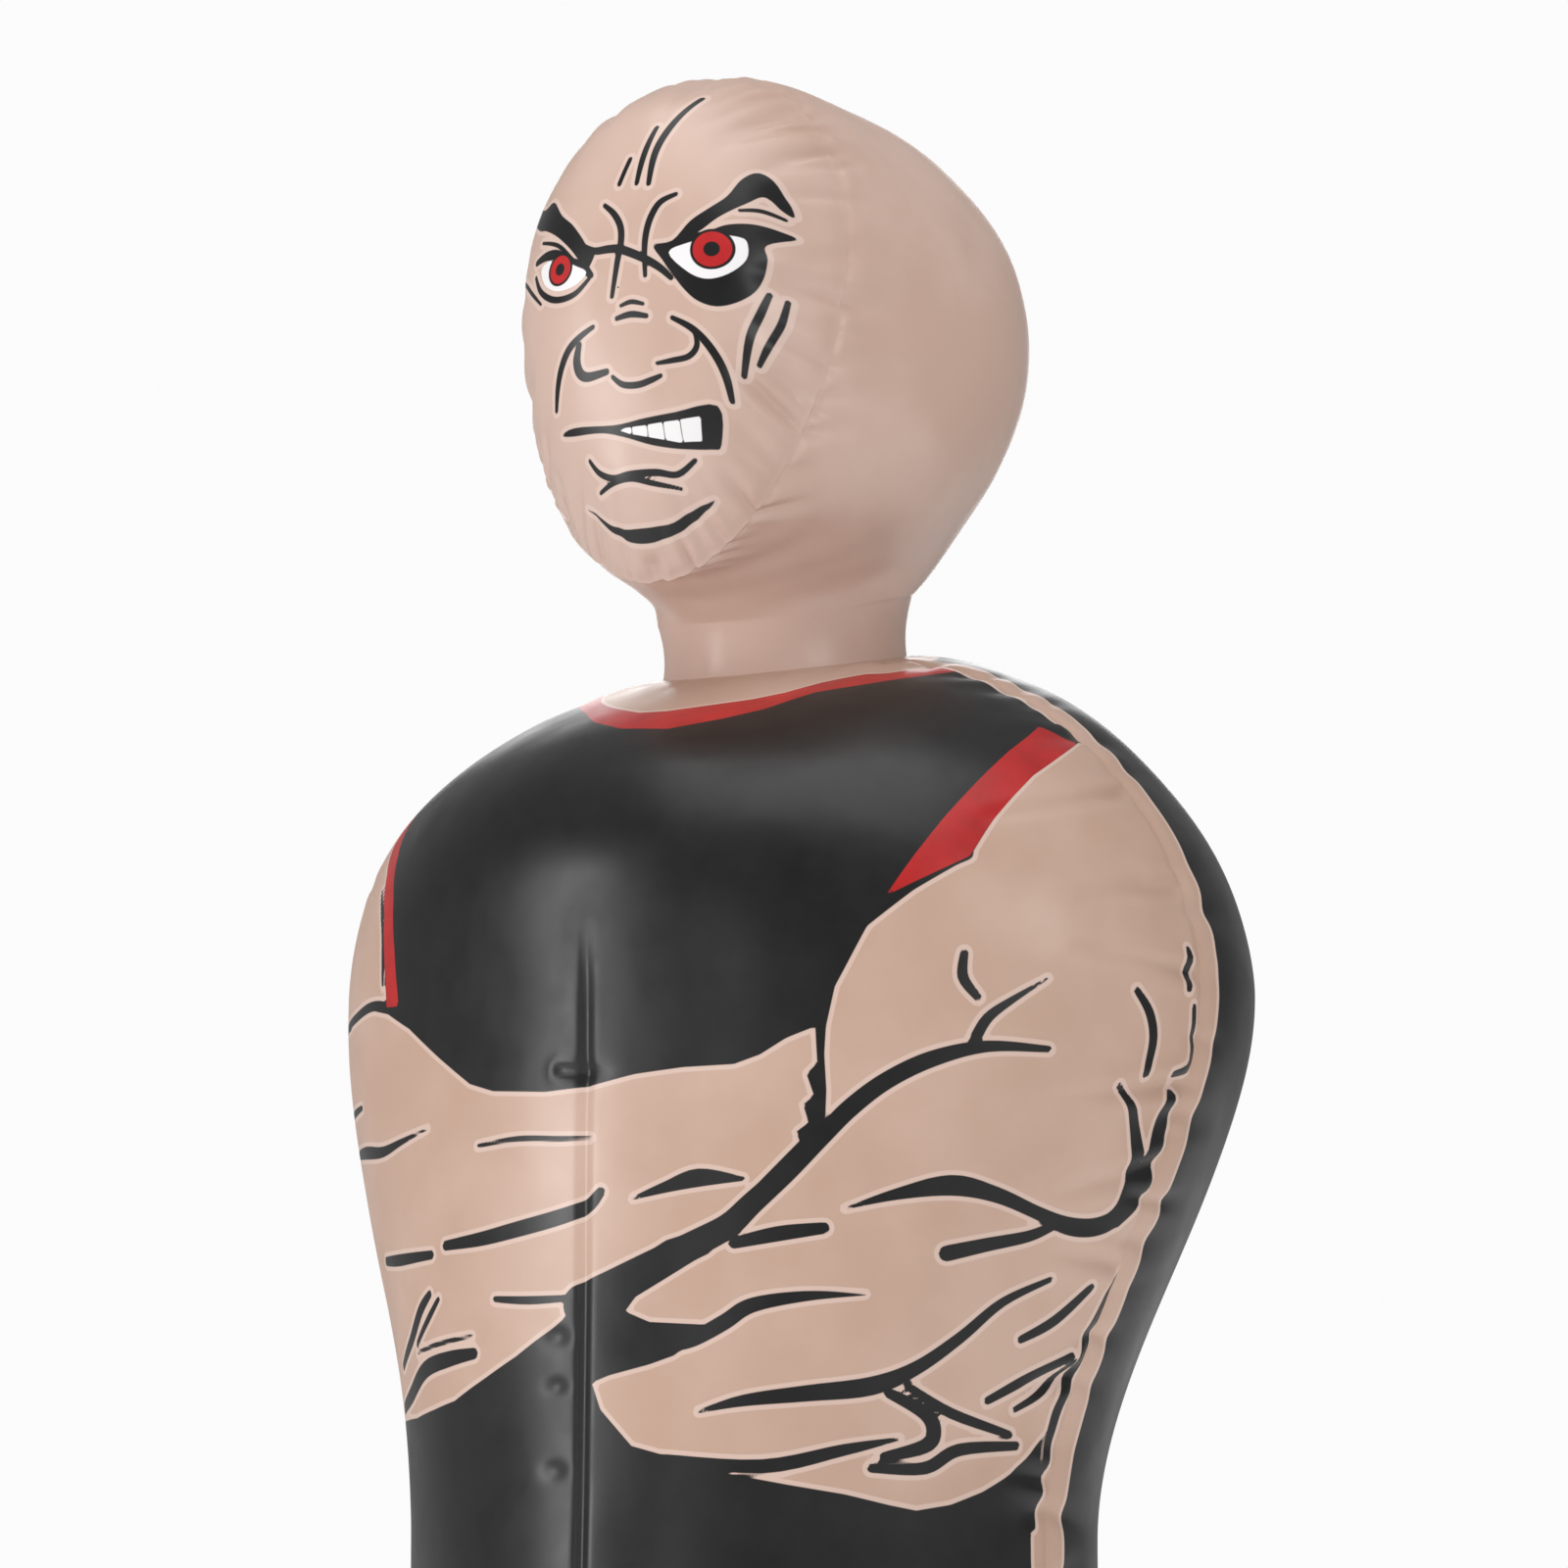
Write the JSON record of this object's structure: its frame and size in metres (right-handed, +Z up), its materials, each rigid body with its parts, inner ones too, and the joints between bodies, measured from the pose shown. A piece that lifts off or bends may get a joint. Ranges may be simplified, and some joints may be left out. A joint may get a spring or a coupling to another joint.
{
  "type": "inflatable opponent mannequin",
  "caption": "Free-standing inflatable striking figure: printed film head and crossed-arm torso on a water-weighted base that rights itself.",
  "frame": {"origin": "on the floor at the centre of the round base", "axes": "+Z up, the figure faces -Y, its left side is +X"},
  "size_m": [0.5721, 0.499, 1.5801],
  "materials": {
    "printed_film": "glossy",
    "printed_face": "glossy",
    "flesh_film": "glossy",
    "black_film": "glossy",
    "clear_film": "glossy",
    "clear_moulding": "satin",
    "water": "clear"
  },
  "bodies": {
    "base": {"base_bottom_panel": "black_film", "base_side_panel": "black_film", "base_weld_ring": "black_film", "ballast_divider": "clear_film", "ballast_water": "water", "water_port": "clear_moulding", "water_plug_strap": "clear_moulding", "column_film": "black_film"},
    "water_plug": {"water_port_plug": "clear_moulding"},
    "torso": {"torso_front_panel": "printed_film", "torso_back_panel": "black_film", "side_weld_left": "flesh_film", "side_weld_right": "flesh_film", "neck_film": "flesh_film", "air_valve_flange": "clear_moulding"},
    "air_stem": {"air_valve_stem": "clear_moulding", "air_plug_strap": "clear_moulding"},
    "air_flap": {"air_valve_flap": "clear_moulding"},
    "air_plug": {"air_valve_plug": "clear_moulding"},
    "head": {"face_panel": "printed_face", "head_shell_left": "flesh_film", "head_shell_right": "flesh_film", "face_weld_ring": "flesh_film"}
  },
  "joints": [
    {"name": "body_lean", "type": "hinge", "parent": "base", "child": "torso", "pos_m": [0, 0, 0.3], "axis": [1, 0, 0], "range_deg": [-20, 20], "stiffness_Nm_per_rad": 60, "deforming": ["column_film"]},
    {"name": "neck_nod", "type": "hinge", "parent": "torso", "child": "head", "pos_m": [0, 0, 1.25], "axis": [1, 0, 0], "range_deg": [-25, 18], "stiffness_Nm_per_rad": 6, "deforming": ["neck_film"]},
    {"name": "water_plug_pull", "type": "slide", "parent": "base", "child": "water_plug", "axis": [0, 1, 0], "range_m": [0, 0.022], "deforming": ["water_plug_strap"]},
    {"name": "air_stem_push", "type": "slide", "parent": "torso", "child": "air_stem", "axis": [0, -1, 0], "range_m": [0, 0.016]},
    {"name": "air_plug_pull", "type": "slide", "parent": "air_stem", "child": "air_plug", "axis": [0, 1, 0], "range_m": [0, 0.015], "deforming": ["air_plug_strap"]},
    {"name": "air_flap_open", "type": "hinge", "parent": "air_stem", "child": "air_flap", "pos_m": [0, 0.133, 0.73272], "axis": [-1, 0, 0], "range_deg": [0, 50], "stiffness_Nm_per_rad": 0.0005}
  ]
}
